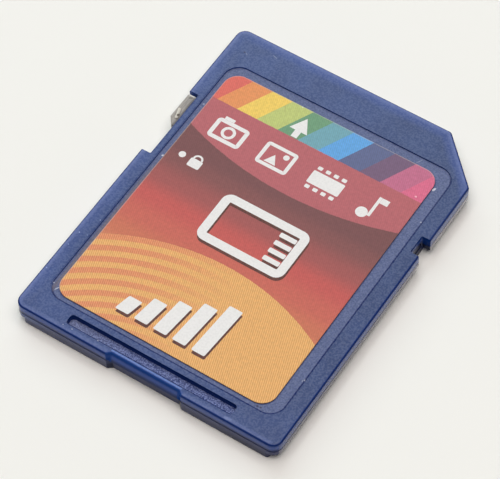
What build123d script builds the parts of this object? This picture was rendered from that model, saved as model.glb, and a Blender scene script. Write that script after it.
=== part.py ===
from build123d import *
import os

# A full-size memory card, in millimetres. The origin is the middle of the back face, +X points to
# the side with the cut corner, +Y to the end with the contacts and +Z out of the label face.

# Outline of the card
card_width = 24.0
card_length = 32.0
card_thickness = 2.1
corner_radius = 0.85  # the three square corners
corner_cut = 4.0  # legs of the cut corner
cut_radius = 0.4  # the two corners of the cut
edge_rounding = 0.17  # rim of the label face

# Guide rails, the lower block between them, and the seam of the covers
rail_width = 0.75
rail_thickness = 1.4
block_radius = 0.3
block_bevel = 0.08
seam_bevel = 0.07
floor_thickness = 0.3
cover_skin = 0.2  # front cover between label recess and inside

# Notches in the rim, placed from the contact end or the middle
lock_notch_length = 6.9
lock_notch_depth = 0.88
lock_notch_from_end = 7.76
guide_notch_length = 1.77
guide_notch_depth = 0.8
guide_notch_from_end = 9.91
notch_radius = 0.12
pull_notch_width = 6.85
pull_notch_slope = 0.4  # run of each sloping end
pull_notch_depth = 0.32  # at the label face and in the rear cover
pull_notch_lip = 0.09  # at the seam, where the front cover's wall leans out

# Label recess and label
recess_side = 1.42
recess_from_end = 3.4
recess_from_grip = 2.12
recess_depth = 0.14
recess_radius = 1.38
label_margin_x = 0.75
label_margin_y = 0.63
label_shift_x = -0.3  # the label is stuck on a little off centre
label_shift_y = -0.17
label_thickness = 0.08
label_radius = 1.3

# Finger groove near the grip end
groove_length = 15.16
groove_width = 0.89
groove_radius = 0.3
groove_depth = 0.63
groove_from_grip = 1.155

# Circuit board and the walls round it
board_thickness = 0.43
board_side_wall = 0.3
board_front_wall = 0.8
board_rear_wall = 1.6
board_cut_wall = 0.9
board_clearance = 0.08
board_grip = 0.5  # front cover's overlap on the board's edge
well_ledge = 0.8  # rear cover's ledge under the board's edge
lock_bay_depth = 0.55  # board set back beside the lock notch
lock_bay_margin = 0.6

# Contact pads and their windows
pad_row_margin = 2.5  # side of the lower block to the middle of the end pad
wide_pad_count = 8
pad_width = 1.65
pad_length = 4.0
pad_thickness = 0.04
pad_radius = 0.2
pad_from_end = 1.0
narrow_pad_width = 1.0
narrow_pad_pitch = 1.6
corner_pad_setback = 2.2
window_margin = 0.16
window_overrun = 0.35

# Lock slider
slider_length = 3.35
slider_end_gap = 0.2
slider_clearance = 0.06
slider_inset = 0.05  # outer face behind the card's edge
slider_drop = 0.16  # top below the label face
slider_bevel_x = 0.55
slider_bevel_y = 0.7
slider_rounding = 0.07
lock_wall = 0.3  # wall between the notch and the slider's channel
slot_height = 0.32
slot_gap = 0.25
neck_length = 2.2
flange_length = 3.0
flange_width = 0.4
rib_length = 1.05
rib_width = 0.34
rib_height = 0.1
rib_angle = 17.0
rib_from_foot = 1.2

# Chips and small parts on the board
component_gap = 0.95
chip_headroom = 0.08
chip_standoff = 0.04
chip_bevel = 0.06
controller_size = 5.5
dimple_radius = 0.35
dimple_depth = 0.05
dimple_from_edge = 0.9
lead_pitch = 0.5
lead_width = 0.22
lead_thickness = 0.1
lead_length = 0.8
lead_shoulder = 0.3
small_part_length = 1.0
small_part_width = 0.5
end_cap_length = 0.24
end_cap_step = 0.03
capacitor_headroom = 0.12
resistor_headroom = 0.26
small_part_spacing = 1.1
capacitor_columns = 2
capacitor_rows = 2
capacitor_column_spacing = 2.4
resistor_count = 5

# Levels and edges that follow from the sizes above
half_width = card_width / 2
half_length = card_length / 2
rail_level = card_thickness - rail_thickness
seat_level = rail_level + pad_thickness
seam_level = seat_level + board_thickness
recess_floor = card_thickness - recess_depth
ceiling = recess_floor - cover_skin
block_width = card_width - 2 * rail_width
lock_notch_top = half_length - lock_notch_from_end
lock_notch_middle = lock_notch_top - lock_notch_length / 2
lock_notch_wall = -half_width + lock_notch_depth
guide_notch_middle = half_length - guide_notch_from_end - guide_notch_length / 2
board_right = block_width / 2 - board_side_wall
board_front = half_length - board_front_wall
board_rear = -half_length + board_rear_wall
board_cut = board_right + board_front - half_width - half_length + corner_cut + board_cut_wall * 2**0.5
lock_travel = lock_notch_length - slider_length - 2 * slider_end_gap
slider_middle = lock_notch_top - slider_end_gap - slider_length / 2
travel_middle = slider_middle - lock_travel / 2
diagonal = Axis((0, 0, 0), (1, 1, 0))


def write(part, name):
    """Label a finished piece and write its file."""
    part.label = name
    export_step(part, f"parts/{name}.step")


def cornered_outline(level, width, cut, radius):
    """Rectangle of the card's length with one corner cut and the other three rounded."""
    with BuildSketch(Plane.XY.offset(level)) as outline:
        Rectangle(width, card_length)
        chamfer(outline.vertices().sort_by(diagonal)[-1], length=cut)
        fillet(outline.vertices().sort_by(diagonal)[:3], radius=radius)
        fillet(outline.vertices().sort_by(diagonal)[-2:], radius=cut_radius)
    return outline.sketch


def card_outline(level):
    """Outline of the whole card."""
    return cornered_outline(level, card_width, corner_cut, corner_radius)


def rail_notches(level):
    """The lock notch in the left rim and the guide notch in the right rim."""
    with BuildSketch(Plane.XY.offset(level)) as notches:
        with Locations((-half_width, lock_notch_middle)):
            RectangleRounded(2 * lock_notch_depth, lock_notch_length, notch_radius)
        with Locations((half_width, guide_notch_middle)):
            RectangleRounded(2 * guide_notch_depth, guide_notch_length, notch_radius)
    return notches.sketch


def pull_notch_outline(level, depth):
    """The finger notch in the grip end at one level, with sloping ends."""
    mouth = pull_notch_width / 2
    foot = mouth - pull_notch_slope * depth / pull_notch_depth
    with BuildSketch(Plane.XY.offset(level)) as outline:
        with BuildLine():
            Polyline(
                (-mouth, -half_length),
                (-foot, -half_length + depth),
                (foot, -half_length + depth),
                (mouth, -half_length),
                (mouth, -half_length - pull_notch_depth),
                (-mouth, -half_length - pull_notch_depth),
                close=True,
            )
        make_face()
    return outline.sketch


def board_outline(level, inset):
    """The board's bay between the covers, set in on all sides by a distance."""
    bay_length = lock_notch_length + 2 * lock_bay_margin
    with BuildSketch(Plane.XY.offset(level)) as outline:
        with Locations((0, (board_front + board_rear) / 2)):
            Rectangle(2 * board_right, board_front - board_rear)
        chamfer(outline.vertices().sort_by(diagonal)[-1], length=board_cut)
        with Locations((-board_right, lock_notch_middle)):
            Rectangle(2 * lock_bay_depth, bay_length, mode=Mode.SUBTRACT)
        if inset:
            offset(amount=-inset, kind=Kind.INTERSECTION, mode=Mode.REPLACE)
    return outline.sketch


def recess_outline(level):
    """Label recess in the front cover."""
    width = card_width - 2 * recess_side
    length = card_length - recess_from_end - recess_from_grip
    with BuildSketch(Plane.XY.offset(level)) as outline:
        with Locations((0, (recess_from_grip - recess_from_end) / 2)):
            RectangleRounded(width, length, recess_radius)
    return outline.sketch


def label_outline(level):
    """Label inside its recess, with a margin all round."""
    width = card_width - 2 * recess_side - 2 * label_margin_x
    length = card_length - recess_from_end - recess_from_grip - 2 * label_margin_y
    middle = (recess_from_grip - recess_from_end) / 2
    with BuildSketch(Plane.XY.offset(level)) as outline:
        with Locations((label_shift_x, middle + label_shift_y)):
            RectangleRounded(width, length, label_radius)
    return outline.sketch


def contact_places():
    """Middle and width of each pad, from pad 1 beside the cut corner to pad 9 in the corner."""
    first = block_width / 2 - pad_row_margin
    pitch = 2 * first / (wide_pad_count - 1)
    row = half_length - pad_from_end - pad_length / 2
    places = [(first - pitch * i, row, pad_width) for i in range(1, wide_pad_count - 1)]
    places.append((-first, row, narrow_pad_width))
    places.append((-first - narrow_pad_pitch, row, narrow_pad_width))
    places.append((first, row - corner_pad_setback, pad_width))
    return places


def lower_rails():
    """Plate of the card's outline with the lower half of the rails, bevelled at the seam."""
    with BuildPart() as rails:
        extrude(card_outline(rail_level), amount=seam_level - rail_level)
        chamfer(rails.faces().sort_by(Axis.Z)[-1].edges(), length=seam_bevel)
        extrude(rail_notches(rail_level), amount=rail_thickness, mode=Mode.SUBTRACT)
    return rails.part


def small_part(height):
    """Block with a plated cap at each end, its foot on the plane of the board's upper face."""
    with BuildSketch(Plane.XY.offset(seam_level)) as caps:
        with GridLocations(small_part_length - end_cap_length, 0, 2, 1):
            Rectangle(end_cap_length, small_part_width)
    with BuildSketch(Plane.XY.offset(seam_level + end_cap_step)) as core:
        Rectangle(small_part_length - end_cap_length, small_part_width - 2 * end_cap_step)
    with BuildPart() as piece:
        extrude(caps.sketch, amount=height)
        extrude(core.sketch, amount=height - 2 * end_cap_step)
    return piece.part


os.makedirs("parts", exist_ok=True)
contacts = contact_places()
corner_window_end = contacts[-1][1] - pad_length / 2 - window_overrun

# Front cover: the shell that carries the label
groove_place = (0, -half_length + groove_from_grip)
with BuildPart() as front_cover:
    extrude(card_outline(seam_level), amount=card_thickness - seam_level)
    chamfer(front_cover.faces().sort_by(Axis.Z)[0].edges(), length=seam_bevel)
    notch_mouth = pull_notch_outline(card_thickness, pull_notch_depth)
    notch_lip = pull_notch_outline(seam_level, pull_notch_lip)
    loft(sections=[notch_mouth, notch_lip], ruled=True, mode=Mode.SUBTRACT)
    fillet(front_cover.faces().sort_by(Axis.Z)[-1].edges(), radius=edge_rounding)
    extrude(rail_notches(seam_level), amount=card_thickness, mode=Mode.SUBTRACT)
    extrude(recess_outline(recess_floor), amount=card_thickness, mode=Mode.SUBTRACT)
    with BuildSketch(Plane.XY.offset(card_thickness - groove_depth)):
        with Locations(groove_place):
            RectangleRounded(groove_length, groove_width, groove_radius)
    extrude(amount=card_thickness, mode=Mode.SUBTRACT)
    # Room over the board, with a rim that holds the board's edge down
    extrude(board_outline(seam_level, board_grip), amount=ceiling - seam_level, mode=Mode.SUBTRACT)
    # Channel for the slider's flange, open towards the room, and the slot for its neck
    channel_left = lock_notch_wall + lock_wall
    channel_right = -board_right + lock_bay_depth + board_grip
    with BuildSketch(Plane.XY.offset(seam_level)):
        with Locations(((channel_left + channel_right) / 2, travel_middle)):
            Rectangle(channel_right - channel_left, flange_length + lock_travel + 2 * slot_gap)
    extrude(amount=ceiling - seam_level, mode=Mode.SUBTRACT)
    with BuildSketch(Plane.XY.offset(seam_level)):
        with Locations((channel_left, travel_middle)):
            Rectangle(2 * lock_wall, neck_length + lock_travel + 2 * slot_gap)
    extrude(amount=slot_height, mode=Mode.SUBTRACT)
write(front_cover.part, "front_cover")

# Rear cover: the lower block, the lower half of the rails, and the contact windows
with BuildPart() as rear_cover:
    extrude(cornered_outline(0, block_width, corner_cut - rail_width, block_radius), amount=rail_level)
    chamfer(rear_cover.faces().sort_by(Axis.Z)[0].edges(), length=block_bevel)
    add(lower_rails())
    extrude(pull_notch_outline(0, pull_notch_depth), amount=seam_level, mode=Mode.SUBTRACT)
    # Bay for the board and the well below it
    extrude(board_outline(seat_level, 0), amount=board_thickness, mode=Mode.SUBTRACT)
    with BuildSketch(Plane.XY.offset(floor_thickness)) as well:
        add(board_outline(0, well_ledge))
        with Locations((0, corner_window_end - well_ledge)):
            Rectangle(card_width, card_length, align=(Align.CENTER, Align.MAX), mode=Mode.INTERSECT)
    extrude(amount=seat_level - floor_thickness, mode=Mode.SUBTRACT)
    # Contact windows, open at the leading edge below the rail level
    for x, y, width in contacts:
        window_end = y - pad_length / 2 - window_overrun
        window_width = width + 2 * window_margin
        with Locations((x, window_end, 0)):
            Box(
                window_width,
                card_length,
                rail_level,
                align=(Align.CENTER, Align.MIN, Align.MIN),
                mode=Mode.SUBTRACT,
            )
        with Locations((x, y, rail_level)):
            Box(
                window_width,
                pad_length + 2 * window_margin,
                pad_thickness,
                align=(Align.CENTER, Align.CENTER, Align.MIN),
                mode=Mode.SUBTRACT,
            )
write(rear_cover.part, "rear_cover")

# Circuit board between the covers
with BuildPart() as circuit_board:
    extrude(board_outline(seat_level, board_clearance), amount=board_thickness)
write(circuit_board.part, "circuit_board")

# Gold contact pads on the board's underside
for number, (x, y, width) in enumerate(contacts, start=1):
    with BuildPart() as contact_pad:
        with BuildSketch(Plane.XY.offset(rail_level)):
            with Locations((x, y)):
                RectangleRounded(width, pad_length, pad_radius)
        extrude(amount=pad_thickness)
    write(contact_pad.part, f"contact_pad_{number}")

# Lock slider: a grip in the notch, a neck through the slot and a flange that keeps it in
grip_foot = slider_middle - slider_length / 2
grip_left = -half_width + slider_inset
grip_right = lock_notch_wall - slider_clearance
grip_bottom = rail_level + slider_clearance
grip_top = card_thickness - slider_drop
flange_left = channel_left + slider_clearance
neck_bottom = seam_level + slider_clearance
with BuildPart() as lock_slider:
    with BuildSketch(Plane.XY.offset(grip_bottom)):
        with BuildLine():
            Polyline(
                (grip_right, grip_foot),
                (grip_left + slider_bevel_x, grip_foot),
                (grip_left, grip_foot + slider_bevel_y),
                (grip_left, grip_foot + slider_length),
                (grip_right, grip_foot + slider_length),
                close=True,
            )
        make_face()
    extrude(amount=grip_top - grip_bottom)
    fillet(lock_slider.faces().sort_by(Axis.Z)[-1].edges(), radius=slider_rounding)
    # Slanting finger rib on the top
    with BuildSketch(
        Plane(
            origin=((grip_left + grip_right) / 2, grip_foot + rib_from_foot, grip_top),
            z_dir=Vector(0, -1, 0).rotate(Axis.Z, rib_angle),
            x_dir=Vector(1, 0, 0).rotate(Axis.Z, rib_angle),
        )
    ):
        with BuildLine():
            Polyline((-rib_width / 2, 0), (rib_width / 2, 0), (0, rib_height), close=True)
        make_face()
    extrude(amount=rib_length / 2, both=True)
    with BuildSketch(Plane.XY.offset(neck_bottom)):
        with Locations((grip_right, slider_middle)):
            Rectangle(flange_left - grip_right, neck_length, align=(Align.MIN, Align.CENTER))
    extrude(amount=slot_height - 2 * slider_clearance)
    with BuildSketch(Plane.XY.offset(neck_bottom)):
        with Locations((flange_left, slider_middle)):
            Rectangle(flange_width, flange_length, align=(Align.MIN, Align.CENTER))
    extrude(amount=ceiling - seam_level - 2 * slider_clearance)
write(lock_slider.part, "lock_slider")

# Label film on the recess floor
with BuildPart() as front_label:
    extrude(label_outline(recess_floor), amount=label_thickness)
write(front_label.part, "front_label")

# Memory chip and controller chip on the board, as tall as the room allows
room_left = -board_right + lock_bay_depth + board_grip
room_right = board_right - board_grip
room_rear = board_rear + board_grip
chip_foot = seam_level + chip_standoff
chip_height = ceiling - chip_headroom - chip_foot
controller_x = room_right - component_gap - controller_size / 2
memory_left = room_left + component_gap
memory_right = controller_x - controller_size / 2 - component_gap
memory_rear = room_rear + component_gap
memory_front = corner_window_end - component_gap
memory_x = (memory_left + memory_right) / 2
memory_y = (memory_rear + memory_front) / 2
memory_width = memory_right - memory_left
body_half = (memory_front - memory_rear) / 2 - lead_length
lead_count = int((memory_width - lead_pitch) / lead_pitch)
lead_places = [(i - (lead_count - 1) / 2) * lead_pitch for i in range(lead_count)]
lead_middle = chip_foot + chip_height / 2
lead_planes = [Plane((memory_x + x, memory_y, 0), x_dir=(0, 1, 0), z_dir=(1, 0, 0)) for x in lead_places]
with BuildPart() as memory_chip:
    with BuildSketch(Plane.XY.offset(chip_foot)):
        with Locations((memory_x, memory_y)):
            Rectangle(memory_width, 2 * body_half)
    extrude(amount=chip_height)
    chamfer(memory_chip.faces().sort_by(Axis.Z)[-1].edges(), length=chip_bevel)
    dimple_x = memory_left + dimple_from_edge
    dimple_y = memory_y + body_half - dimple_from_edge
    with Locations((dimple_x, dimple_y, chip_foot + chip_height)):
        Cylinder(dimple_radius, 2 * dimple_depth, mode=Mode.SUBTRACT)
    # Leads bent down to the board at both short ends
    with BuildSketch(*lead_planes):
        with BuildLine():
            Polyline(
                (body_half, lead_middle + lead_thickness / 2),
                (body_half + lead_shoulder, lead_middle + lead_thickness / 2),
                (body_half + lead_shoulder, seam_level + lead_thickness),
                (body_half + lead_length, seam_level + lead_thickness),
                (body_half + lead_length, seam_level),
                (body_half + lead_shoulder - lead_thickness, seam_level),
                (body_half + lead_shoulder - lead_thickness, lead_middle - lead_thickness / 2),
                (body_half, lead_middle - lead_thickness / 2),
                close=True,
            )
        make_face()
        mirror(about=Plane.YZ)
    extrude(amount=lead_width / 2, both=True)
write(memory_chip.part, "memory_chip")

controller_y = memory_front - controller_size / 2
controller_mark = controller_size / 2 - dimple_from_edge
with BuildPart() as controller_chip:
    with BuildSketch(Plane.XY.offset(seam_level)):
        with Locations((controller_x, controller_y)):
            Rectangle(controller_size, controller_size)
    extrude(amount=chip_foot + chip_height - seam_level)
    chamfer(controller_chip.faces().sort_by(Axis.Z)[-1].edges(), length=chip_bevel)
    with Locations((controller_x - controller_mark, controller_y + controller_mark, chip_foot + chip_height)):
        Cylinder(dimple_radius, 2 * dimple_depth, mode=Mode.SUBTRACT)
write(controller_chip.part, "controller_chip")

# Capacitors in a block below the controller, and resistors in a column below them
block_top = controller_y - controller_size / 2 - component_gap
capacitor = small_part(ceiling - capacitor_headroom - seam_level)
for i in range(capacitor_columns * capacitor_rows):
    column = i % capacitor_columns - (capacitor_columns - 1) / 2
    row = i // capacitor_columns
    x = controller_x + column * capacitor_column_spacing
    y = block_top - row * small_part_spacing
    write(capacitor.moved(Location((x, y, 0))), f"chip_capacitor_{i + 1}")

resistor = small_part(ceiling - resistor_headroom - seam_level)
for i in range(resistor_count):
    y = block_top - (capacitor_rows + i) * small_part_spacing
    write(resistor.moved(Location((controller_x, y, 0))), f"chip_resistor_{i + 1}")
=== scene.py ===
import math
from types import SimpleNamespace
import bpy
from mathutils import Matrix, Vector


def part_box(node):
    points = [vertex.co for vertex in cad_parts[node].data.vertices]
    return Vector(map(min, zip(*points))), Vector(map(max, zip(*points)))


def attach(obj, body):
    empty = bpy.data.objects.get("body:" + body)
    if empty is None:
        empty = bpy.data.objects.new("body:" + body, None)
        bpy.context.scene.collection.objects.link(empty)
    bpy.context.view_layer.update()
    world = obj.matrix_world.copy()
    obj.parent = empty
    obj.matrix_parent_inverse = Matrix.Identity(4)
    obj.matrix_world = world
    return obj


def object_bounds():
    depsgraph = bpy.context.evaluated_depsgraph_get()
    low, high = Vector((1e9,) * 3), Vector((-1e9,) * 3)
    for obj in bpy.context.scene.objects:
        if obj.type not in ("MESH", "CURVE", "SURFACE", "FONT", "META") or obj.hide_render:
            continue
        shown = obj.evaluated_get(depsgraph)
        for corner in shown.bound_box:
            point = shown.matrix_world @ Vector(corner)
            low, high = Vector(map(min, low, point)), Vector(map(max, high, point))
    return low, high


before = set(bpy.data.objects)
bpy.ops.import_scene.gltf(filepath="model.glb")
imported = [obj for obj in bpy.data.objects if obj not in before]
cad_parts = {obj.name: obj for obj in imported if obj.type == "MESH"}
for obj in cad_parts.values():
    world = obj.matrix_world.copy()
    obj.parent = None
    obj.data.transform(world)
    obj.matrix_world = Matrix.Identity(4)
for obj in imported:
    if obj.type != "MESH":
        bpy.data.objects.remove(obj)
cad_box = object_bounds()

MM = 0.001

# The camera, as the picture was taken: angles in degrees, lengths in millimetres
view_azimuth = 34.544
view_elevation = 55.749
view_roll = -1.705
view_aim = (0.109, -1.37, 2.1)
view_distance = 201.36
sensor_width = 36.0
lens_length = 186.52
nearest_view = 5.0

# Outlines seen from above, each a low corner, a high corner and a corner radius, in millimetres
card_low, card_high = (corner / MM for corner in cad_box)
label_low, label_high = (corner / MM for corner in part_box("front_label"))
recess_low, recess_high = (-10.58, -13.88), (10.58, 12.6)
groove_low, groove_high = (-7.58, -15.29), (7.58, -14.4)
card_outline = (card_low.xy, card_high.xy, 0.85)
label_outline = (label_low.xy, label_high.xy, 1.3)
recess_outline = (recess_low, recess_high, 1.38)
groove_outline = (groove_low, groove_high, 0.3)
corner_cut = 4.0

# Heights between which the level surfaces of the front cover lie, in millimetres
recess_heights = (1.9, 2.0)
groove_heights = (1.38, 1.5)
face_height = 2.05

# Notches in the card's edges and the lock slider, in millimetres
outer_wall_side = 11.9
finger_notch_side = 3.2
finger_end_sides = (3.0, 3.45)
finger_end_depths = (-15.99, -15.6)
finger_brow_depths = (-16.0, -15.52)
finger_crest_depth = -15.46
guide_notch_sides = (11.1, 11.98)
guide_notch_run = (4.25, 6.15)
lock_notch_brink = -11.08
lock_notch_run = (1.34, 8.24)
slider_outer_edge = (-11.6, -11.9)
slider_inner_edge = (-11.45, -11.24)
slider_far_edge = (7.84, 7.96)
rib_heights = (1.95, 1.99)

# Upward part of the surface's direction, from where a finish starts to where it is whole
upper_slopes = (0.9, 1.0)
level_slopes = (0.93, 0.998)
wall_slopes = (0.5, 0.3)
bend_rise, bend_fall = (0.2, 0.45), (0.97, 0.85)

# Glass weave of the circuit board, in radians to the millimetre
weave_rate = 12.0

# Fields of the printed label, in millimetres
strip_height = 3.05
bar_lean = 0.5
band_height = 5.0
band_sag_radius = 29.0
hill_top = -4.4
hill_radius = 20.0
hill_stripe_pitch = 1.05
dusk_foot = -9.0
dusk_height = 13.0
print_blur = 0.03
halftone_pitch = 0.161
halftone_turn = 18.4
halftone_inks = (0.105, 0.24, 0.4)
ink_thickness = 0.003
shadow_drop = (0.16, -0.26)
sign_row = 6.35

# The table: its width in metres, and how far below the card it lies, in millimetres
table_width = 3.0
table_gap = 0.02


def shade(red, green, blue):
    """Linear colour of an 8-bit screen colour."""
    linear = []
    for value in (red, green, blue):
        part = value / 255
        linear.append(part / 12.92 if part <= 0.04045 else ((part + 0.055) / 1.055) ** 2.4)
    return (*linear, 1.0)


# Node helpers: a value may be a number, a colour or another node's socket

def plug(tree, value, socket):
    """Sets a socket, or wires another node's output to it."""
    if isinstance(value, bpy.types.NodeSocket):
        tree.links.new(value, socket)
    else:
        socket.default_value = value


def add_node(tree, kind, **inputs):
    """Adds a node and fills its named inputs."""
    node = tree.nodes.new("ShaderNode" + kind)
    for name, value in inputs.items():
        plug(tree, value, node.inputs[name.replace("_", " ")])
    return node


def calc(tree, operation, *values):
    """A sum on one to three values."""
    node = tree.nodes.new("ShaderNodeMath")
    node.operation = operation
    for socket, value in zip(node.inputs, values):
        plug(tree, value, socket)
    return node.outputs[0]


def product(tree, first, *others):
    """All values multiplied."""
    for value in others:
        first = calc(tree, "MULTIPLY", first, value)
    return first


def largest(tree, first, *others):
    """The largest of the values."""
    for value in others:
        first = calc(tree, "MAXIMUM", first, value)
    return first


def weighted(tree, base, *parts):
    """A base value, plus each (mask, amount) multiplied."""
    for mask, amount in parts:
        base = calc(tree, "MULTIPLY_ADD", mask, amount, base)
    return base


def opposite(tree, mask):
    """1 where the mask is 0, and 0 where it is 1."""
    return calc(tree, "SUBTRACT", 1.0, mask)


def ease(tree, value, low, high):
    """0 at low, 1 at high and beyond it, smooth between; low may be the larger."""
    node = add_node(tree, "MapRange", Value=value)
    node.interpolation_type = "SMOOTHSTEP"
    plug(tree, low, node.inputs["From Min"])
    plug(tree, high, node.inputs["From Max"])
    return node.outputs["Result"]


def between(tree, value, low, high):
    """1 where the value lies between two limits."""
    return product(tree, calc(tree, "GREATER_THAN", value, low), calc(tree, "LESS_THAN", value, high))


def stripe_at(tree, value, middle, half, soft):
    """1 on a thin line where the value is near the middle."""
    off = calc(tree, "ABSOLUTE", calc(tree, "SUBTRACT", value, middle))
    return opposite(tree, ease(tree, off, half, half + soft))


def blend_colours(tree, share, first, second, way="MIX"):
    """Two colours mixed by a share."""
    node = tree.nodes.new("ShaderNodeMix")
    node.data_type = "RGBA"
    node.blend_type = way
    plug(tree, share, node.inputs[0])
    plug(tree, first, node.inputs[6])
    plug(tree, second, node.inputs[7])
    return node.outputs[2]


def cover(tree, colour, tone, *masks):
    """A tone laid over a colour, as strong as all the masks multiplied."""
    return blend_colours(tree, product(tree, *masks), colour, tone)


def colour_steps(tree, value, stops, hard=False):
    """A colour ramp from (place, colour) stops."""
    node = add_node(tree, "ValToRGB", Fac=value)
    ramp = node.color_ramp
    ramp.interpolation = "CONSTANT" if hard else "EASE"
    while len(ramp.elements) < len(stops):
        ramp.elements.new(0.5)
    for element, (place, colour) in zip(ramp.elements, stops):
        element.position = place
        element.color = colour
    return node.outputs["Color"]


def object_place(tree):
    """Object coordinates in millimetres."""
    node = tree.nodes.new("ShaderNodeVectorMath")
    node.operation = "SCALE"
    plug(tree, add_node(tree, "TexCoord").outputs["Object"], node.inputs[0])
    node.inputs["Scale"].default_value = 1 / MM
    return node.outputs[0]


def split(tree, vector):
    """The x, y and z of a vector."""
    return add_node(tree, "SeparateXYZ", Vector=vector).outputs[:3]


def surface_direction(tree):
    """How far the surface faces sideways, along and up: up is 1 on level faces, 0 on walls."""
    return split(tree, add_node(tree, "TexCoord").outputs["Normal"])


def sideways(tree):
    """1 on the two long walls and all that is parallel to them."""
    return calc(tree, "ABSOLUTE", surface_direction(tree)[0])


def grain(tree, place, per_mm, detail=2.0):
    """Noise with so many grains to the millimetre, about 0.5."""
    node = add_node(tree, "TexNoise", Vector=place, Scale=per_mm, Detail=detail)
    return node.outputs["Fac"]


def drawn_grain(tree, place, per_mm):
    """Noise with its own number of grains to the millimetre along x, y and z."""
    stretch = add_node(tree, "Mapping", Vector=place)
    stretch.inputs["Scale"].default_value = per_mm
    return grain(tree, stretch.outputs[0], 1.0, 3.0)


def bump(tree, shader, height, depth_mm, strength=1.0):
    """Relief of so many millimetres on a finish."""
    node = add_node(tree, "Bump", Height=height, Strength=strength, Distance=depth_mm * MM)
    tree.links.new(node.outputs["Normal"], shader.inputs["Normal"])


def new_finish(name, roughness=0.5, specular=0.5, metallic=0.0):
    """A material with its node tree and shader."""
    material = bpy.data.materials.new(name)
    material.use_nodes = True
    shader = material.node_tree.nodes["Principled BSDF"]
    shader.inputs["Roughness"].default_value = roughness
    shader.inputs["Specular IOR Level"].default_value = specular
    shader.inputs["Metallic"].default_value = metallic
    return material, material.node_tree, shader


# Masks of places on the card, from x and y in millimetres

def outline_edge(tree, x, y, outline):
    """Signed distance in millimetres to a rounded rectangle, negative inside."""
    low, high, radius = outline
    reach = []
    for value, start, end in ((x, low[0], high[0]), (y, low[1], high[1])):
        off = calc(tree, "ABSOLUTE", calc(tree, "SUBTRACT", value, (start + end) / 2))
        reach.append(calc(tree, "SUBTRACT", off, (end - start) / 2 - radius))
    outside = [calc(tree, "MAXIMUM", value, 0.0) for value in reach]
    square = calc(tree, "MULTIPLY", outside[1], outside[1])
    corner = calc(tree, "SQRT", calc(tree, "MULTIPLY_ADD", outside[0], outside[0], square))
    inside = calc(tree, "MINIMUM", calc(tree, "MAXIMUM", *reach), 0.0)
    return calc(tree, "SUBTRACT", calc(tree, "ADD", corner, inside), radius)


def near_side(tree, x, y, outline):
    """1 on the half of a rectangle towards the cut-corner side and the grip end, 0 on the other half."""
    low, high = outline[:2]
    run = (high[0] - low[0], high[1] - low[1])
    size = math.hypot(*run)
    across = calc(tree, "MULTIPLY", calc(tree, "SUBTRACT", x, low[0]), run[1] / size)
    along = calc(tree, "MULTIPLY", calc(tree, "SUBTRACT", y, low[1]), run[0] / size)
    return ease(tree, calc(tree, "SUBTRACT", across, along), -0.4, 0.4)


def guide_notch_walls(tree, x, y):
    """1 on the end walls, and 1 on the back wall, of the small guide notch in the cut-corner side."""
    notch = product(tree, between(tree, x, *guide_notch_sides), between(tree, y, *guide_notch_run))
    back = product(tree, notch, sideways(tree))
    return calc(tree, "SUBTRACT", notch, back), back


def finger_ends(tree, x, y):
    """1 on the two sloping ends of the finger notch."""
    end = between(tree, calc(tree, "ABSOLUTE", x), *finger_end_sides)
    return product(tree, end, between(tree, y, *finger_end_depths))


def outer_side(tree, x):
    """1 on the two long outer walls, which slide in a reader."""
    outer = calc(tree, "GREATER_THAN", calc(tree, "ABSOLUTE", x), outer_wall_side)
    return product(tree, sideways(tree), outer)


def fleck(tree, x, y, place, length, width, turn):
    """1 on a short mark: a straight scratch or a chip of the given size and turn in degrees."""
    angle = math.radians(turn)
    dx = calc(tree, "SUBTRACT", x, place[0])
    dy = calc(tree, "SUBTRACT", y, place[1])
    along = calc(tree, "MULTIPLY_ADD", dx, math.cos(angle), calc(tree, "MULTIPLY", dy, math.sin(angle)))
    across = calc(tree, "MULTIPLY_ADD", dx, -math.sin(angle), calc(tree, "MULTIPLY", dy, math.cos(angle)))
    along = calc(tree, "DIVIDE", along, length / 2)
    across = calc(tree, "DIVIDE", across, width / 2)
    reach = calc(tree, "MULTIPLY_ADD", along, along, calc(tree, "MULTIPLY", across, across))
    return opposite(tree, ease(tree, reach, 0.5, 1.2))


def add_flecks(tree, x, y, colour, marks):
    """Marks on a colour, each a place, length, width, turn, share and tone."""
    for place, length, width, turn, share, tone in marks:
        colour = cover(tree, colour, tone, fleck(tree, x, y, place, length, width, turn), share)
    return colour


# Finish of the two covers

def moulded_plastic(tree, place, deep, pale):
    """Mottled plastic with its spark-eroded grain; upper faces darker overall, most in the grain's pits."""
    mottle = grain(tree, place, 0.35)
    fine = grain(tree, place, 6.5, 3.0)
    colour = blend_colours(tree, ease(tree, mottle, 0.35, 0.65), deep, pale)
    upper = ease(tree, surface_direction(tree)[2], *upper_slopes)
    pit = product(tree, ease(tree, fine, 0.62, 0.38), upper)
    upper_darkening = weighted(tree, product(tree, upper, 0.7), (pit, 0.3))
    return blend_colours(tree, upper_darkening, colour, (0.74, 0.75, 0.73, 1.0), "MULTIPLY"), fine, pit


def front_regions(tree):
    """Where a point of the front cover lies, and 1 on each kind of its surfaces."""
    at = SimpleNamespace(place=object_place(tree), tilt=surface_direction(tree)[2])
    at.x, at.y, at.z = split(tree, at.place)
    at.level = ease(tree, at.tilt, *level_slopes)
    at.wall = ease(tree, at.tilt, *wall_slopes)
    at.recess = product(tree, at.level, between(tree, at.z, *recess_heights))
    at.groove = product(tree, at.level, between(tree, at.z, *groove_heights))
    at.top = product(tree, at.level, calc(tree, "GREATER_THAN", at.z, face_height))
    at.side = outer_side(tree, at.x)
    at.shaded_wall = product(tree, at.wall, weighted(tree, 1.0, (at.side, -0.75)))
    return at


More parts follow.
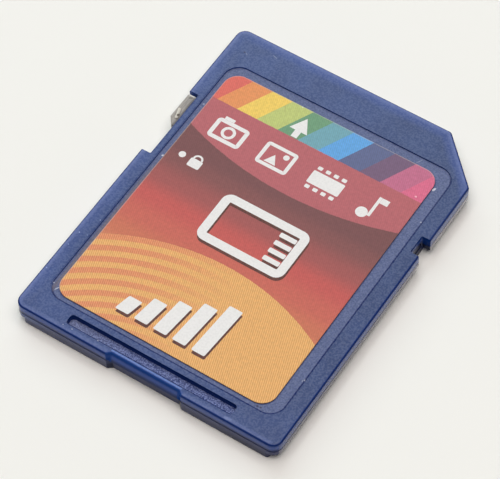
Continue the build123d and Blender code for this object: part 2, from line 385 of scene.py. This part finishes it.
def paint_walls(tree, at, colour):
    """Painted shade to the cut-corner side; blue walls with painted light and shade; painted shade towards
    the seam.
    """
    # Painted shade: face and walls darker towards the cut-corner side, half as much at the grip end
    painted_shade = weighted(tree, 0.5, (ease(tree, at.y, -16.0, -9.0), 0.5))
    painted_shade = product(tree, painted_shade, largest(tree, at.top, at.wall), ease(tree, at.x, -6.0, 11.0))
    colour = blend_colours(tree, painted_shade, colour, (0.84, 0.84, 0.81, 1.0), "MULTIPLY")
    colour = cover(tree, colour, shade(56, 86, 166), at.wall, 0.4)
    # Painted light on the long sides towards the contact end, and painted shade towards the grip end
    colour = cover(tree, colour, shade(148, 156, 184), at.side, ease(tree, at.y, -2.0, 10.0), 0.25)
    colour = cover(tree, colour, shade(26, 40, 84), at.side, ease(tree, at.y, -4.0, -13.0), 0.25)
    # Painted shade on the walls towards the seam
    seam = product(tree, ease(tree, at.z, 1.67, 1.25), at.shaded_wall)
    return cover(tree, colour, shade(24, 30, 58), seam, 0.8), seam


def paint_bends(tree, at, colour):
    """Painted shade in deep blue on upper lips, rounded edges and finger notch; painted highlight on its
    crest.
    """
    middle = calc(tree, "LESS_THAN", calc(tree, "ABSOLUTE", at.x), finger_notch_side)
    brow = product(tree, between(tree, at.y, *finger_brow_depths), ease(tree, at.z, 1.8, 1.95), middle)
    brow = largest(tree, brow, finger_ends(tree, at.x, at.y))
    bend = product(tree, ease(tree, at.tilt, *bend_rise), ease(tree, at.tilt, *bend_fall))
    lip = product(tree, at.shaded_wall, ease(tree, at.z, 1.7, 2.0), ease(tree, at.x, -10.5, -5.5))
    # Painted shade on the walls' upper lip, the rounded edges and the finger notch's brow and ends
    colour = cover(tree, colour, shade(12, 36, 92), lip, 0.5)
    colour = cover(tree, colour, shade(9, 31, 82), bend, 0.75)
    colour = cover(tree, colour, shade(30, 66, 134), brow, 0.7)
    # Painted highlight along the crest in the finger notch
    crest = stripe_at(tree, at.y, finger_crest_depth, 0.04, 0.06)
    colour = cover(tree, colour, shade(104, 136, 214), crest, middle, 0.6)
    return colour, largest(tree, bend, brow), lip


def paint_rim_highlight(tree, at, colour):
    """Painted reflection and painted highlight on the face near its outer rim, most at the far edges."""
    cut_reach = (card_high.x + card_high.y - corner_cut) / math.sqrt(2)
    cut_edge = calc(tree, "MULTIPLY_ADD", calc(tree, "ADD", at.x, at.y), 1 / math.sqrt(2), -cut_reach)
    edge = largest(tree, outline_edge(tree, at.x, at.y, card_outline), cut_edge)
    near = product(tree, near_side(tree, at.x, at.y, card_outline), ease(tree, cut_edge, -0.5, -1.2))
    # Painted reflection: a bluish band inside the far edges
    glow = product(tree, ease(tree, edge, -1.2, -0.5), opposite(tree, near), at.top)
    colour = cover(tree, colour, shade(60, 87, 176), glow, ease(tree, at.x, -13.5, -9.0), 0.3)
    # Painted highlight on the outer rim, weaker on the near edges and the right edge
    rim = product(tree, ease(tree, edge, -0.55, -0.2), ease(tree, edge, -0.06, -0.16), at.top)
    painted_light_share = weighted(tree, 0.45, (near, -0.15), (ease(tree, at.x, 11.2, 11.6), -0.3))
    return cover(tree, colour, shade(108, 122, 182), rim, painted_light_share)


def paint_floors(tree, at, colour):
    """Hazy floor of the recess, dusty at the label's left edge, and rough, speckled floor of the groove."""
    haze = ease(tree, grain(tree, at.place, 8.0, 3.0), 0.35, 0.65)
    hazy = blend_colours(tree, haze, shade(73, 85, 127), shade(96, 106, 148))
    dusty = product(tree, ease(tree, at.x, -10.5, -10.32), ease(tree, at.x, -9.9, -10.3))
    hazy = cover(tree, hazy, shade(112, 94, 86), dusty, ease(tree, at.y, 2.0, -1.0), 0.6)
    colour = cover(tree, colour, hazy, at.recess, 0.85)
    speck = ease(tree, grain(tree, at.place, 10.0, 2.0), 0.36, 0.68)
    rough = blend_colours(tree, speck, shade(48, 64, 118), shade(136, 150, 204))
    rough = cover(tree, rough, shade(132, 138, 166), ease(tree, at.x, -1.0, -7.6), 0.4)
    return cover(tree, colour, rough, at.groove, 0.9)


def draw_edge_lines(tree, at, colour):
    """Painted shade as dark lines beside recess, label, groove and lock notch, and on groove and guide notch
    walls.
    """
    recess_edge = outline_edge(tree, at.x, at.y, recess_outline)
    recess_line = stripe_at(tree, recess_edge, -0.035, 0.06, 0.05)
    recess_line = product(tree, recess_line, near_side(tree, at.x, at.y, recess_outline), 0.8)
    left_line = stripe_at(tree, recess_edge, 0.06, 0.03, 0.05)
    left_line = product(tree, left_line, calc(tree, "LESS_THAN", at.x, recess_low[0] + 0.1), 0.4)
    label_line = stripe_at(tree, outline_edge(tree, at.x, at.y, label_outline), 0.03, 0.04, 0.05)
    label_line = product(tree, label_line, near_side(tree, at.x, at.y, label_outline), 0.4)
    groove_edge = outline_edge(tree, at.x, at.y, groove_outline)
    groove_line = stripe_at(tree, groove_edge, 0.02, 0.02, 0.03)
    groove_line = product(tree, groove_line, calc(tree, "LESS_THAN", at.y, groove_low[1] + 0.1), at.top)
    lock_line = stripe_at(tree, at.x, lock_notch_brink, 0.04, 0.06)
    lock_line = product(tree, lock_line, between(tree, at.y, *lock_notch_run), 0.3)
    line = largest(tree, recess_line, left_line, label_line, groove_line, lock_line)
    line = product(tree, line, at.level)
    colour = cover(tree, colour, shade(14, 30, 86), line)
    notch_ends, notch_back = guide_notch_walls(tree, at.x, at.y)
    nook = largest(tree, calc(tree, "LESS_THAN", groove_edge, 0.03), notch_ends)
    nook = product(tree, nook, at.wall)
    nook = largest(tree, nook, product(tree, notch_back, ease(tree, at.z, 1.72, 1.95)))
    return cover(tree, colour, shade(5, 46, 114), nook, 0.8), line, nook


def wear_front(tree, at, colour):
    """Chips, scratches and specks of dust and dirt on the front cover."""
    chip, dust, dirt = shade(205, 208, 222), shade(170, 186, 240), shade(40, 34, 72)
    return add_flecks(tree, at.x, at.y, colour, (
        ((9.68, 10.47), 0.42, 0.2, 70, 0.9, chip),
        ((7.3, 12.2), 0.7, 0.05, 62, 0.35, chip),
        ((-10.49, -12.77), 0.16, 0.11, 40, 0.6, chip),
        ((-9.99, -13.07), 0.46, 0.1, 63, 0.6, chip),
        ((-10.33, 7.77), 0.2, 0.09, 20, 0.6, chip),
        ((-10.24, 1.76), 0.22, 0.17, 50, 0.8, chip),
        ((10.42, 7.23), 0.16, 0.12, 0, 0.5, chip),
        ((10.39, -9.93), 0.16, 0.11, 80, 0.3, chip),
        ((10.5, -9.79), 0.18, 0.13, 80, 0.45, chip),
        ((7.49, -15.72), 0.7, 0.28, 10, 0.16, dust),
        ((-8.0, 14.82), 0.5, 0.08, -17, 0.2, chip),
        ((-10.14, 13.84), 0.3, 0.09, -35, 0.18, chip),
        ((-6.81, -15.54), 0.14, 0.11, 0, 0.4, chip),
        ((-7.63, -15.56), 0.12, 0.1, 0, 0.3, chip),
        ((-4.55, -15.33), 0.15, 0.1, 0, 0.5, chip),
        ((-11.5, -7.93), 0.13, 0.11, 0, 0.6, dust),
        ((-11.57, -9.31), 0.12, 0.1, 0, 0.4, dust),
        ((-11.73, -12.0), 0.13, 0.11, 0, 0.5, dust),
        ((-10.77, -6.11), 0.12, 0.1, 50, 0.45, dust),
        ((-10.82, -7.82), 0.12, 0.1, 50, 0.3, dust),
        ((-10.38, 13.9), 0.2, 0.16, 0, 0.7, dirt),
        ((8.73, -13.57), 0.2, 0.16, 30, 0.9, dirt),
        ((9.0, -13.54), 0.18, 0.16, 0, 0.9, dirt),
    ))


def front_shell_finish():
    """Blue front cover: satin face, glossy walls, matt label recess and groove, painted light and shade,
    small wear marks.
    """
    material, tree, shader = new_finish("blue_shell")
    at = front_regions(tree)
    colour, fine, pit = moulded_plastic(tree, at.place, shade(46, 70, 136), shade(51, 76, 144))
    colour, seam = paint_walls(tree, at, colour)
    colour, bend, lip = paint_bends(tree, at, colour)
    colour = paint_rim_highlight(tree, at, colour)
    colour = paint_floors(tree, at, colour)
    colour, line, nook = draw_edge_lines(tree, at, colour)
    colour = wear_front(tree, at, colour)
    tree.links.new(colour, shader.inputs["Base Color"])
    roughness = weighted(tree, 0.16, (at.top, 0.2), (at.recess, 0.34), (at.groove, 0.44))
    tree.links.new(roughness, shader.inputs["Roughness"])
    far_level = product(tree, at.level, ease(tree, at.y, -8.0, 16.0))
    long_wall = product(tree, at.side, at.wall, ease(tree, at.z, 1.95, 1.4))
    sheen = weighted(
        tree, 0.21, (at.level, 0.44), (pit, -0.3), (far_level, 0.13), (bend, -0.17), (long_wall, 0.34),
        (seam, -0.05), (lip, -0.13), (line, -0.45), (nook, -0.15),
    )
    tree.links.new(sheen, shader.inputs["Specular IOR Level"])
    relief = weighted(tree, product(tree, at.level, 0.5), (at.groove, 2.0))
    bump(tree, shader, product(tree, fine, relief), 0.05, 0.7)
    return material


def rear_shell_finish():
    """Grey-blue rear cover, glossy on its walls, with painted reflection on its long sides and painted shade
    in its notches.
    """
    material, tree, shader = new_finish("grey_blue_shell")
    place = object_place(tree)
    x, y, z = split(tree, place)
    colour, fine = moulded_plastic(tree, place, shade(40, 48, 86), shade(46, 54, 94))[:2]
    level = ease(tree, calc(tree, "ABSOLUTE", surface_direction(tree)[2]), *level_slopes)
    long_wall = outer_side(tree, x)
    # Painted reflection: the long sides paler, most towards the contact end
    painted_light_share = weighted(tree, 0.55, (ease(tree, y, -2.0, 14.0), 0.3))
    rail = blend_colours(tree, ease(tree, y, -14.0, 10.0), shade(130, 129, 138), shade(182, 178, 184))
    colour = cover(tree, colour, rail, long_wall, painted_light_share)
    # Painted shade on the walls of the guide notch and the finger notch's ends
    nook = largest(tree, *guide_notch_walls(tree, x, y), finger_ends(tree, x, y))
    nook = product(tree, nook, opposite(tree, level))
    colour = cover(tree, colour, shade(14, 22, 50), nook, 0.8)

    # Grip end: bluer on the rails, most at the far corner, and painted shade at the foot of the near corner
    grip_end = ease(tree, y, -15.0, -15.6)
    blue_rail = weighted(tree, 0.0, (ease(tree, x, -8.0, -11.0), 0.75), (ease(tree, x, 8.0, 0.0), 0.25))
    colour = cover(tree, colour, shade(66, 82, 132), blue_rail, grip_end, ease(tree, z, 0.5, 0.8))
    foot = product(tree, ease(tree, z, 0.85, 0.4), ease(tree, x, 0.0, 11.0), grip_end)
    colour = cover(tree, colour, shade(20, 22, 40), foot, 0.5)
    tree.links.new(colour, shader.inputs["Base Color"])
    tree.links.new(weighted(tree, 0.2, (level, 0.22)), shader.inputs["Roughness"])
    to_cut_side = ease(tree, x, -12.0, 12.0)
    sheen = weighted(tree, 0.38, (to_cut_side, -0.1), (long_wall, 0.6), (nook, -0.2), (foot, -0.06))
    tree.links.new(sheen, shader.inputs["Specular IOR Level"])
    bump(tree, shader, product(tree, fine, level), 0.05, 0.7)
    return material


# Finishes of the small pieces

def slider_finish():
    """Pale grey lock slider, scuffed along its travel, paler at its outer edge, with painted light and shade,
    and dirt.
    """
    material, tree, shader = new_finish("slider_grey", roughness=0.42)
    place = object_place(tree)
    x, y, z = split(tree, place)
    scuff = drawn_grain(tree, place, (9.0, 1.2, 9.0))
    colour = blend_colours(tree, ease(tree, scuff, 0.35, 0.7), shade(140, 134, 130), shade(165, 158, 151))
    colour = cover(tree, colour, shade(190, 184, 176), ease(tree, x, *slider_outer_edge), 0.2)
    # Painted highlight on the rib and the far end, and painted shade along the inner edge
    colour = cover(tree, colour, shade(218, 213, 202), ease(tree, z, *rib_heights))
    colour = cover(tree, colour, shade(226, 224, 222), ease(tree, y, *slider_far_edge), 0.8)
    colour = cover(tree, colour, shade(64, 62, 66), ease(tree, x, *slider_inner_edge), 0.6)
    dirt = shade(74, 64, 56)
    colour = add_flecks(tree, x, y, colour, (
        # A dirt mark near the far end, and a painted shadow beside the rib in the same dark tone
        ((-11.55, 7.74), 0.42, 0.2, 34, 0.55, dirt),
        ((-11.44, 5.74), 0.32, 0.2, 70, 0.85, dirt),
    ))
    tree.links.new(colour, shader.inputs["Base Color"])
    bump(tree, shader, scuff, 0.02, 0.5)
    return material


def gold_finish():
    """Plated contact with rubbed lines along the way of insertion."""
    material, tree, shader = new_finish("contact_gold", roughness=0.3, metallic=1.0)
    rub = drawn_grain(tree, object_place(tree), (14.0, 0.5, 1.0))
    colour = blend_colours(tree, ease(tree, rub, 0.42, 0.66), shade(226, 184, 96), shade(242, 208, 132))
    tree.links.new(colour, shader.inputs["Base Color"])
    tree.links.new(weighted(tree, 0.14, (rub, 0.3)), shader.inputs["Roughness"])
    bump(tree, shader, rub, 0.004, 0.4)
    return material


def board_finish():
    """Green lacquered circuit board with a faint glass weave."""
    material, tree, shader = new_finish("board_green", roughness=0.35)
    x, y = split(tree, object_place(tree))[:2]
    weave = product(tree, *(calc(tree, "SINE", product(tree, value, weave_rate)) for value in (x, y)))
    colour = blend_colours(tree, ease(tree, weave, -0.6, 0.6), shade(22, 74, 46), shade(30, 90, 58))
    tree.links.new(colour, shader.inputs["Base Color"])
    bump(tree, shader, weave, 0.004, 0.5)
    return material


def ceramic_finish(name, dark, light):
    """Small fired part with a fine speckle."""
    material, tree, shader = new_finish(name, roughness=0.45)
    speckle = grain(tree, object_place(tree), 9.0, 3.0)
    colour = blend_colours(tree, ease(tree, speckle, 0.4, 0.6), dark, light)
    tree.links.new(colour, shader.inputs["Base Color"])
    bump(tree, shader, speckle, 0.01, 0.4)
    return material


def resin_finish():
    """Black moulded chip resin with a fine matt grain."""
    material, tree, shader = new_finish("chip_resin", roughness=0.6)
    fine = grain(tree, object_place(tree), 12.0, 3.0)
    colour = blend_colours(tree, ease(tree, fine, 0.4, 0.65), shade(24, 24, 26), shade(44, 44, 46))
    tree.links.new(colour, shader.inputs["Base Color"])
    bump(tree, shader, fine, 0.012, 0.6)
    return material


# Finish of the label

def colour_bars(tree, x, rise, ragged):
    """Slanting bars across the far end of the label."""
    start = label_low.x - bar_lean * strip_height
    off_foot = calc(tree, "SUBTRACT", rise, label_high.y - strip_height)
    lean = calc(tree, "ADD", weighted(tree, x, (off_foot, -bar_lean)), ragged)
    along = calc(tree, "DIVIDE", calc(tree, "SUBTRACT", lean, start), label_high.x - start)
    hues = (
        (219, 103, 91), (227, 145, 87), (238, 202, 95), (188, 198, 117), (108, 153, 118), (111, 163, 177),
        (95, 162, 222), (93, 101, 141), (116, 89, 118), (192, 105, 136), (216, 103, 136),
    )
    stops = [(i / len(hues), shade(*hue)) for i, hue in enumerate(hues)]
    return colour_steps(tree, along, stops, hard=True)


def round_field(tree, x, rise, middle, radius):
    """1 inside a large circle on the label's middle line, and the distance to the circle's middle."""
    off = calc(tree, "SUBTRACT", rise, middle)
    reach = calc(tree, "SQRT", calc(tree, "MULTIPLY_ADD", x, x, calc(tree, "MULTIPLY", off, off)))
    return opposite(tree, ease(tree, reach, radius - print_blur, radius + print_blur)), reach


def dusk_field(tree, rise):
    """Field that goes from dark at its far end to orange."""
    share = calc(tree, "DIVIDE", calc(tree, "SUBTRACT", rise, dusk_foot), dusk_height)
    return colour_steps(tree, share, [
        (0.08, shade(214, 141, 97)), (0.23, shade(200, 111, 82)), (0.385, shade(198, 97, 82)),
        (0.54, shade(194, 84, 79)), (0.69, shade(160, 81, 79)), (0.85, shade(131, 76, 75)),
        (0.95, shade(119, 71, 72)),
    ])


def hill_ground(tree, x, reach):
    """Orange ground with round stripes that fade out to the right."""
    turns = product(tree, calc(tree, "SUBTRACT", hill_radius, reach), 2 * math.pi / hill_stripe_pitch)
    stripe = ease(tree, calc(tree, "SINE", turns), -0.25, 0.25)
    fade = opposite(tree, ease(tree, x, -7.0, 3.0))
    return cover(tree, shade(227, 170, 102), shade(220, 140, 95), stripe, fade)


def halftone(tree, x, y, place, open_ground):
    """Fine print lines, strong on open ground alone, and the tones of the three inks with a slight mottle."""
    turn = math.radians(halftone_turn)
    across = calc(tree, "MULTIPLY_ADD", x, math.cos(turn), calc(tree, "MULTIPLY", y, math.sin(turn)))
    lines = calc(tree, "SINE", product(tree, across, 2 * math.pi / halftone_pitch))
    lines = product(tree, lines, weighted(tree, 0.25, (open_ground, 0.75)))
    cloud = weighted(tree, 1.0, (calc(tree, "SUBTRACT", grain(tree, place, 4.5, 4.0), 0.5), 0.4))
    tones = [product(tree, weighted(tree, 1.0, (lines, ink)), cloud) for ink in halftone_inks]
    return lines, add_node(tree, "CombineXYZ", X=tones[0], Y=tones[1], Z=tones[2]).outputs[0]


def wear_and_shade_label(tree, x, y, ragged, colour):
    """Two nicks and a scratch, bare paper along the far cut edges, painted shade along the near edges, and
    dark sides.
    """
    colour = add_flecks(tree, x, y, colour, (
        ((8.85, 9.07), 0.2, 0.16, 0, 0.7, shade(250, 200, 210)),
        ((-3.38, 11.74), 0.16, 0.12, 0, 0.6, shade(225, 232, 225)),
        ((-4.5, 10.87), 0.9, 0.08, -57, 0.35, shade(140, 128, 70)),
    ))
    edge = calc(tree, "ADD", outline_edge(tree, x, y, label_outline), ragged)
    near = near_side(tree, x, y, label_outline)
    bare = product(tree, ease(tree, edge, -0.1, -0.02), opposite(tree, near))
    colour = cover(tree, colour, shade(205, 190, 178), bare, 0.35)
    # Painted shade along the near edges
    colour = cover(tree, colour, shade(84, 58, 48), ease(tree, edge, -0.06, 0.0), near, 0.5)
    side = calc(tree, "LESS_THAN", surface_direction(tree)[2], 0.5)
    return cover(tree, colour, shade(50, 32, 32), side)


def label_finish():
    """Printed film in fine halftone: colour bars, a sagging band, a dusk field over an orange hill."""
    material, tree, shader = new_finish("label_print", specular=0.4)
    place = object_place(tree)
    x, y = split(tree, place)[:2]
    ragged = product(tree, calc(tree, "SUBTRACT", grain(tree, place, 7.0), 0.5), 0.1)
    rise = calc(tree, "ADD", y, ragged)
    strip_foot = label_high.y - strip_height
    hill, hill_reach = round_field(tree, x, rise, hill_top - hill_radius, hill_radius)
    band_middle = strip_foot - band_height + band_sag_radius
    band = round_field(tree, x, rise, band_middle, band_sag_radius)[0]
    colour = cover(tree, dusk_field(tree, rise), hill_ground(tree, x, hill_reach), hill)
    colour = cover(tree, colour, shade(181, 96, 102), band)
    strip = ease(tree, rise, strip_foot - print_blur, strip_foot + print_blur)
    colour = cover(tree, colour, colour_bars(tree, x, rise, ragged), strip)
    lines, tones = halftone(tree, x, y, place, product(tree, hill, opposite(tree, band)))
    colour = blend_colours(tree, 1.0, colour, tones, "MULTIPLY")
    colour = wear_and_shade_label(tree, x, y, ragged, colour)
    tree.links.new(colour, shader.inputs["Base Color"])
    bump(tree, shader, lines, 0.004, 0.25)
    return material


def ink_finish(name, deep, pale):
    """Printed ink with a slightly uneven cover."""
    material, tree, shader = new_finish(name, specular=0.4)
    uneven = grain(tree, object_place(tree), 6.0, 3.0)
    colour = blend_colours(tree, ease(tree, uneven, 0.35, 0.6), deep, pale)
    tree.links.new(colour, shader.inputs["Base Color"])
    bump(tree, shader, uneven, 0.003, 0.3)
    return material


# Modelling helpers for the printed marks, which are flat shapes on the label

def clear_selection():
    """Nothing selected, so that an operator touches the new shape alone."""
    if bpy.context.object and bpy.context.object.mode != "OBJECT":
        bpy.ops.object.mode_set(mode="OBJECT")
    bpy.ops.object.select_all(action="DESELECT")


def pick_corners(shape, wanted):
    """Edit mode with the vertices selected whose place passes the test."""
    bpy.ops.object.mode_set(mode="EDIT")
    bpy.ops.mesh.select_mode(type="VERT")
    bpy.ops.mesh.select_all(action="DESELECT")
    bpy.ops.object.mode_set(mode="OBJECT")
    for corner in shape.data.vertices:
        corner.select = wanted(corner.co)
    bpy.ops.object.mode_set(mode="EDIT")


def cut_to_rim(rim):
    """In edit mode with all selected, leaves a rim of the given width and removes the middle."""
    bpy.ops.mesh.inset(thickness=rim * MM, depth=0)
    bpy.ops.mesh.delete(type="FACE")


def place_shape(shape):
    """Back in object mode, with the shape's place in its mesh."""
    if bpy.context.object.mode != "OBJECT":
        bpy.ops.object.mode_set(mode="OBJECT")
    bpy.ops.object.transform_apply(location=True, rotation=True, scale=True)
    return shape


def plate(x, y, width, height, corner=0.0, lean=0.0, rim=0.0):
    """A flat plate, its corners rounded, its top pushed sideways, or left as a frame of the given rim."""
    clear_selection()
    bpy.ops.mesh.primitive_plane_add(size=1, location=(x * MM, y * MM, 0))
    shape = bpy.context.object
    shape.scale = (width * MM, height * MM, 1)
    bpy.ops.object.transform_apply(location=False, rotation=False, scale=True)
    if lean:
        pick_corners(shape, lambda co: co.y > 0)
        bpy.ops.transform.translate(value=(lean * MM, 0, 0))
    bpy.ops.object.mode_set(mode="EDIT")
    bpy.ops.mesh.select_all(action="SELECT")
    if corner:
        bpy.ops.mesh.bevel(offset=corner * MM, segments=6, affect="VERTICES")
        bpy.ops.mesh.select_all(action="SELECT")
    if rim:
        cut_to_rim(rim)
    return place_shape(shape)


def disc(x, y, radius, rim=0.0, corners=40):
    """A flat disc, ring or regular polygon."""
    clear_selection()
    bpy.ops.mesh.primitive_circle_add(
        vertices=corners, radius=radius * MM, fill_type="NGON", location=(x * MM, y * MM, 0),
    )
    shape = bpy.context.object
    if rim:
        bpy.ops.object.mode_set(mode="EDIT")
        bpy.ops.mesh.select_all(action="SELECT")
        cut_to_rim(rim)
    return place_shape(shape)


def arch(x, y, radius, rim):
    """Upper half of a flat ring."""
    shape = disc(x, y, radius, rim)
    pick_corners(shape, lambda corner: corner.y < (y - 0.001) * MM)
    bpy.ops.mesh.delete(type="VERT")
    bpy.ops.object.mode_set(mode="OBJECT")
    return shape


def print_mark(name, shapes, ink, layer=0, shift=(0.0, 0.0)):
    """Joins flat shapes to one printed mark on the label, in an ink, so many ink layers up."""
    clear_selection()
    for shape in shapes:
        shape.select_set(True)
    mark = shapes[0]
    bpy.context.view_layer.objects.active = mark
    if len(shapes) > 1:
        bpy.ops.object.join()
    mark.name = name
    mark.data.name = name
    mark.location = (shift[0] * MM, shift[1] * MM, (label_high.z + layer * ink_thickness) * MM)
    place_shape(mark)
    film = mark.modifiers.new("film", "SOLIDIFY")
    film.thickness = ink_thickness * MM
    film.offset = 1.0
    bpy.ops.object.modifier_apply(modifier=film.name)
    mark.data.materials.clear()
    mark.data.materials.append(ink)
    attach(mark, "card")


def shadowed_mark(name, sign, x, y, ink, shadow_ink):
    """A mark with the same mark below it in a dark ink, shifted as its shadow."""
    print_mark(name + "_shadow", sign(x, y), shadow_ink, shift=shadow_drop)
    print_mark(name, sign(x, y), ink, layer=1)


# Signs on the label, each round its own middle, in millimetres

def arrow_sign(x, y):
    """Arrow towards the contact end: head and shaft."""
    return [disc(x, y, 0.95, corners=3), plate(x, y - 0.83, 0.55, 0.7)]


def camera_sign(x, y):
    """Camera: body, viewfinder and lens ring."""
    return [
        plate(x, y, 3.0, 2.1, 0.35, rim=0.36),
        plate(x - 0.6, y + 1.21, 0.9, 0.3),
        disc(x, y, 0.62, rim=0.26),
    ]


def picture_sign(x, y):
    """Framed picture with a hill and a sun."""
    return [
        plate(x, y, 2.9, 2.3, 0.3, rim=0.32),
        disc(x - 0.25, y - 0.42, 0.62, corners=3),
        disc(x + 0.65, y + 0.42, 0.26),
    ]


def film_sign(x, y):
    """Strip of film with its holes."""
    hole_pitch = 0.74
    holes = [
        plate(x + (i - 1.5) * hole_pitch, y + side, 0.42, 0.34, 0.08) for i in range(4) for side in (-1, 1)
    ]
    return [plate(x, y, 2.9, 1.3, 0.12), *holes]


def note_sign(x, y):
    """Musical note: head, stem and flag."""
    return [
        disc(x - 0.4, y - 0.8, 0.5),
        plate(x + 0.23, y + 0.17, 0.26, 2.05),
        plate(x + 0.71, y + 0.92, 0.68, 0.55),
    ]


def card_sign(x, y):
    """Card outline with its contact bars."""
    bar_pitch = 0.82
    bars = [plate(x + 2.45, y + (i - 1.5) * bar_pitch, 1.5, 0.44, 0.1) for i in range(4)]
    return [plate(x, y, 8.0, 4.9, 0.8, rim=0.75), *bars]


def level_sign(x, y):
    """Rising bars of a level meter on one foot line, from the middle of the lowest bar."""
    bar_pitch, growth = 1.75, 0.84
    return [
        plate(x + i * bar_pitch, y + i * growth / 2, 1.2, 1.5 + i * growth, 0.12, lean=0.35) for i in range(5)
    ]


def lock_sign(x, y):
    """Dot and padlock beside the slider's locked place."""
    return [disc(x - 1.35, y + 0.25, 0.3), plate(x, y, 1.1, 0.85, 0.14), arch(x, y + 0.44, 0.45, 0.17)]


def print_label():
    """All printed marks on the label."""
    white = ink_finish("white_ink", shade(230, 228, 227), shade(236, 234, 233))
    dark = ink_finish("shadow_ink", shade(78, 40, 34), shade(102, 52, 42))
    print_mark("arrow_mark", arrow_sign(-2.4, 10.0), white)
    for name, sign, x in (
        ("camera_mark", camera_sign, -7.0), ("picture_mark", picture_sign, -2.4),
        ("film_mark", film_sign, 2.2), ("note_mark", note_sign, 6.4),
    ):
        print_mark(name, sign(x, sign_row), white)
    shadowed_mark("card_mark", card_sign, 0.1, -0.9, white, dark)
    shadowed_mark("level_mark", level_sign, -4.6, -11.4, white, dark)
    print_mark("lock_mark", lock_sign(-7.6, 2.4), white)


def dress_nodes():
    """Gives every piece of the card its finish; numbered pieces share one by their common name."""
    resin = resin_finish()
    finishes = {
        "front_cover": front_shell_finish(),
        "rear_cover": rear_shell_finish(),
        "front_label": label_finish(),
        "lock_slider": slider_finish(),
        "circuit_board": board_finish(),
        "memory_chip": resin,
        "controller_chip": resin,
        "contact_pad": gold_finish(),
        "chip_capacitor": ceramic_finish("capacitor_ceramic", shade(150, 118, 84), shade(172, 140, 104)),
        "chip_resistor": ceramic_finish("resistor_ceramic", shade(34, 34, 38), shade(60, 60, 64)),
    }
    for name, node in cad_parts.items():
        finish = finishes.get(name) or finishes[name.rstrip("0123456789").rstrip("_")]
        for slot in node.material_slots:
            slot.material = finish


# Stage, light and camera

def lay_floor():
    """Plain pale table under the card."""
    clear_selection()
    bpy.ops.mesh.primitive_plane_add(size=table_width, location=(0, 0, -table_gap * MM))
    floor = bpy.context.object
    floor.name = "table"
    material, _, shader = new_finish("pale_table", roughness=0.7, specular=0.2)
    shader.inputs["Base Color"].default_value = shade(246, 245, 241)
    floor.data.materials.append(material)


def hang_lamp(name, middle, size, power, tint):
    """Soft rectangular lamp that faces straight down; place and size in metres."""
    lamp = bpy.data.lights.new(name, "AREA")
    lamp.shape = "RECTANGLE"
    lamp.size, lamp.size_y = size
    lamp.energy = power
    lamp.color = tint
    holder = bpy.data.objects.new(name, lamp)
    bpy.context.scene.collection.objects.link(holder)
    holder.location = middle


def light_room():
    """Dim room, brighter low down on its walls, which the camera sees as a plain pale backdrop."""
    world = bpy.data.worlds.new("room")
    bpy.context.scene.world = world
    world.use_nodes = True
    tree = world.node_tree
    room = tree.nodes["Background"]
    height = split(tree, add_node(tree, "TexCoord").outputs["Generated"])[2]
    tree.links.new(weighted(tree, 0.015, (ease(tree, height, 0.4, 0.2), 0.4)), room.inputs["Strength"])
    room.inputs["Color"].default_value = shade(250, 249, 247)
    backdrop = add_node(tree, "Background", Color=shade(243, 242, 238), Strength=1.0)
    mix = tree.nodes.new("ShaderNodeMixShader")
    tree.links.new(add_node(tree, "LightPath").outputs["Is Camera Ray"], mix.inputs[0])
    tree.links.new(room.outputs[0], mix.inputs[1])
    tree.links.new(backdrop.outputs[0], mix.inputs[2])
    tree.links.new(mix.outputs[0], tree.nodes["World Output"].inputs[0])


def light_scene():
    """Soft studio light: a softbox overhead, a wide cool window behind on the left, and a dim room."""
    hang_lamp(
        "softbox", middle=(0.064, -0.053, 0.6), size=(0.605, 0.581), power=3.55, tint=(1.0, 0.95, 0.92),
    )
    hang_lamp(
        "window", middle=(-0.77, 0.62, 0.6), size=(1.292, 0.942), power=7.7, tint=(0.81, 0.965, 1.0),
    )
    light_room()


def set_camera():
    """Camera at the picture's angle."""
    azimuth, elevation = math.radians(view_azimuth), math.radians(view_elevation)
    turn = Matrix.Rotation(azimuth, 4, "Z") @ Matrix.Rotation(math.pi / 2 - elevation, 4, "X")
    turn = turn @ Matrix.Rotation(math.radians(view_roll), 4, "Z")
    back = turn.to_3x3() @ Vector((0, 0, 1))
    lens = bpy.data.cameras.new("camera")
    lens.sensor_width = sensor_width
    lens.sensor_fit = "HORIZONTAL"
    lens.lens = lens_length
    lens.clip_start = nearest_view * MM
    camera = bpy.data.objects.new("camera", lens)
    bpy.context.scene.collection.objects.link(camera)
    camera.matrix_world = Matrix.Translation(Vector(view_aim) * MM + back * view_distance * MM) @ turn
    bpy.context.scene.camera = camera


dress_nodes()
print_label()
lay_floor()
light_scene()
set_camera()
bpy.context.scene.view_settings.view_transform = "Standard"
